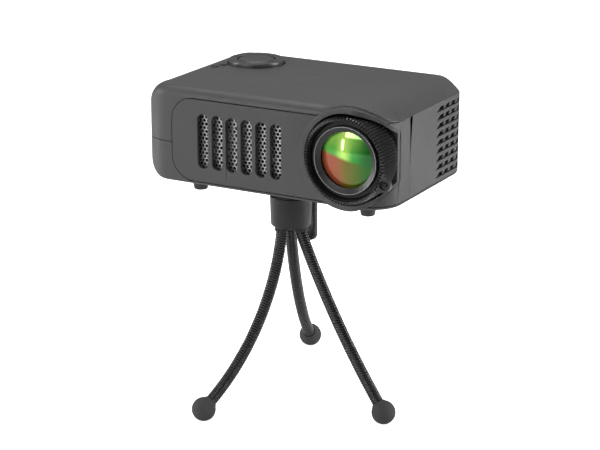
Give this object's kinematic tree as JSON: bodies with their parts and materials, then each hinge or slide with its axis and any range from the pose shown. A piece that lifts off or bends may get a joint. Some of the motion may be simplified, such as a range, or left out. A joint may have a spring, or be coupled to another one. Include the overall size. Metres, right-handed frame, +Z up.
{
  "type": "home projector",
  "caption": "Palm-sized home projector with a corner lens, knurled focus ring and round control pad, screwed to a ball-head tripod with gooseneck legs.",
  "frame": {"origin": "centre of the bounding box on the floor that the three ball feet stand on", "axes": "+Z up; the lens looks along -Y; +X to the right seen from the front"},
  "size_m": [0.1318, 0.122, 0.1552],
  "materials": {
    "case_plastic": "fine-grained matte charcoal moulding",
    "key_plastic": "satin charcoal keys",
    "ring_plastic": "black, knurled, semi-gloss",
    "inner_plastic": "plain black moulding",
    "mesh_metal": "perforated sheet, satin",
    "retainer_metal": "bright turned edge, black cone",
    "coated_glass": "polished, green and amber coating",
    "clear_glass": "polished",
    "mirror_glass": "front-silvered",
    "sink_aluminium": "plain extruded",
    "circuit_board": "green solder mask",
    "socket_steel": "pressed shell",
    "socket_plastic": "black moulding",
    "speaker_steel": "pressed basket, black cone",
    "foot_rubber": "soft matte",
    "screw_steel": "blackened",
    "bush_brass": "turned",
    "stud_steel": "polished",
    "seat_nylon": "natural nylon",
    "head_metal": "satin black",
    "lever_plastic": "satin black",
    "gooseneck_metal": "glossy black coil",
    "ball_rubber": "soft matte"
  },
  "bodies": {
    "tripod_head": {"head_body": "head_metal", "leg_hub": "head_metal"},
    "projector": {"top_cover": "case_plastic", "bottom_cover": "case_plastic", "side_grille": "case_plastic", "rear_panel": "case_plastic", "front_panel": "case_plastic", "lens_mount": "inner_plastic", "light_engine": "inner_plastic", "fan_frame": "inner_plastic", "intake_mesh": "mesh_metal", "lcd_panel": "clear_glass", "field_lens": "clear_glass", "condenser_lens": "clear_glass", "folding_mirror": "mirror_glass", "heat_sink": "sink_aluminium", "led_module": "sink_aluminium", "main_board": "circuit_board", "key_board": "circuit_board", "hdmi_socket": "socket_steel", "usb_socket": "socket_steel", "av_socket": "socket_plastic", "dc_socket": "socket_plastic", "speaker": "speaker_steel", "rubber_foot_front_left": "foot_rubber", "rubber_foot_front_right": "foot_rubber", "rubber_foot_rear_left": "foot_rubber", "rubber_foot_rear_right": "foot_rubber", "case_screw_left_front": "screw_steel", "case_screw_left_rear": "screw_steel", "case_screw_middle_front": "screw_steel", "case_screw_right_rear": "screw_steel", "tripod_bush": "bush_brass", "ball_stud": "stud_steel"},
    "lock_lever": {"lock_lever": "lever_plastic"},
    "ball_seat": {"ball_seat": "seat_nylon"},
    "focus_ring": {"focus_ring": "ring_plastic"},
    "lens_barrel": {"lens_barrel": "inner_plastic", "lens_retainer": "retainer_metal", "front_lens": "coated_glass", "rear_lens": "coated_glass"},
    "nav_rocker": {"nav_rocker_plate": "inner_plastic"},
    "nav_ring": {"nav_ring": "key_plastic"},
    "ok_button": {"ok_button": "key_plastic"},
    "power_button": {"power_button": "key_plastic"},
    "back_button": {"back_button": "key_plastic"},
    "fan_rotor": {"fan_rotor": "inner_plastic"},
    "leg_left_1": {"leg_left_1": "gooseneck_metal"},
    "leg_left_2": {"leg_left_2": "gooseneck_metal"},
    "leg_left_3": {"leg_left_3": "gooseneck_metal", "ball_foot_left": "ball_rubber"},
    "leg_right_1": {"leg_right_1": "gooseneck_metal"},
    "leg_right_2": {"leg_right_2": "gooseneck_metal"},
    "leg_right_3": {"leg_right_3": "gooseneck_metal", "ball_foot_right": "ball_rubber"},
    "leg_rear_1": {"leg_rear_1": "gooseneck_metal"},
    "leg_rear_2": {"leg_rear_2": "gooseneck_metal"},
    "leg_rear_3": {"leg_rear_3": "gooseneck_metal", "ball_foot_rear": "ball_rubber"}
  },
  "joints": [
    {"name": "head_pan", "type": "hinge", "parent": "tripod_head", "child": "ball_seat", "pos_m": [-0.0094, -0.00084, 0.0938], "axis": [0, 0, 1], "continuous": true},
    {"name": "head_tilt", "type": "hinge", "parent": "ball_seat", "child": "projector", "pos_m": [-0.0094, -0.00084, 0.0938], "axis": [1, 0, 0], "range_deg": [-15, 15]},
    {"name": "lever_turn", "type": "hinge", "parent": "tripod_head", "child": "lock_lever", "pos_m": [-0.0094, -0.00084, 0.0938], "axis": [0.342, 0.9397, 0], "range_deg": [0, 90]},
    {"name": "focus_turn", "type": "hinge", "parent": "projector", "child": "focus_ring", "pos_m": [0.0432, -0.04284, 0.1317], "axis": [0, -1, 0], "range_deg": [-60.5, 60.5]},
    {"name": "lens_slide", "type": "slide", "parent": "projector", "child": "lens_barrel", "axis": [0, -1, 0], "range_m": [-0.0015, 0.0015]},
    {"name": "nav_up_down", "type": "hinge", "parent": "projector", "child": "nav_rocker", "pos_m": [-0.0394, 0.01916, 0.1508], "axis": [1, 0, 0], "range_deg": [-2.5, 2.5], "stiffness_Nm_per_rad": 0.6},
    {"name": "nav_left_right", "type": "hinge", "parent": "nav_rocker", "child": "nav_ring", "pos_m": [-0.0394, 0.01916, 0.1508], "axis": [0, 1, 0], "range_deg": [-2.5, 2.5], "stiffness_Nm_per_rad": 0.6},
    {"name": "ok_press", "type": "slide", "parent": "projector", "child": "ok_button", "axis": [0, 0, -1], "range_m": [0, 0.0005], "stiffness_N_per_m": 3000},
    {"name": "power_press", "type": "slide", "parent": "projector", "child": "power_button", "axis": [0, 0, -1], "range_m": [0, 0.0003], "stiffness_N_per_m": 3000},
    {"name": "back_press", "type": "slide", "parent": "projector", "child": "back_button", "axis": [0, 0, -1], "range_m": [0, 0.0003], "stiffness_N_per_m": 3000},
    {"name": "fan_spin", "type": "hinge", "parent": "projector", "child": "fan_rotor", "pos_m": [-0.0124, -0.03584, 0.1281], "axis": [0, -1, 0], "continuous": true},
    {"name": "leg_left_bend_1", "type": "hinge", "parent": "tripod_head", "child": "leg_left_1", "pos_m": [-0.01179, -0.00534, 0.0798], "axis": [-0.9659, 0.2588, 0], "range_deg": [-13.1, 42.9]},
    {"name": "leg_left_bend_2", "type": "hinge", "parent": "leg_left_1", "child": "leg_left_2", "pos_m": [-0.01417, -0.01422, 0.04999], "axis": [-0.9659, 0.2588, 0], "range_deg": [-17.7, 12.3]},
    {"name": "leg_left_bend_3", "type": "hinge", "parent": "leg_left_2", "child": "leg_left_3", "pos_m": [-0.01879, -0.03144, 0.02438], "axis": [-0.9659, 0.2588, 0], "range_deg": [-17.7, 12.3]},
    {"name": "leg_right_bend_1", "type": "hinge", "parent": "tripod_head", "child": "leg_right_1", "pos_m": [-0.0043, -0.00066, 0.0798], "axis": [-0.3156, -0.9489, 0], "range_deg": [-28.2, 27.8]},
    {"name": "leg_right_bend_2", "type": "hinge", "parent": "leg_right_1", "child": "leg_right_2", "pos_m": [0.01146, -0.0059, 0.05339], "axis": [-0.3156, -0.9489, 0], "range_deg": [-5, 25]},
    {"name": "leg_right_bend_3", "type": "hinge", "parent": "leg_right_2", "child": "leg_right_3", "pos_m": [0.02934, -0.01185, 0.02853], "axis": [-0.3156, -0.9489, 0], "range_deg": [-5, 25]},
    {"name": "leg_rear_bend_1", "type": "hinge", "parent": "tripod_head", "child": "leg_rear_1", "pos_m": [-0.0121, 0.00348, 0.0798], "axis": [0.9494, 0.314, 0], "range_deg": [-20.6, 35.4]},
    {"name": "leg_rear_bend_2", "type": "hinge", "parent": "leg_rear_1", "child": "leg_rear_2", "pos_m": [-0.01618, 0.01581, 0.05143], "axis": [0.9494, 0.314, 0], "range_deg": [-11.7, 18.3]},
    {"name": "leg_rear_bend_3", "type": "hinge", "parent": "leg_rear_2", "child": "leg_rear_3", "pos_m": [-0.02198, 0.03334, 0.02628], "axis": [0.9494, 0.314, 0], "range_deg": [-11.7, 18.3]}
  ],
  "couplings": [
    {"joint": "focus_turn", "follows": "lens_slide", "rad_per_m": 698.13}
  ]
}
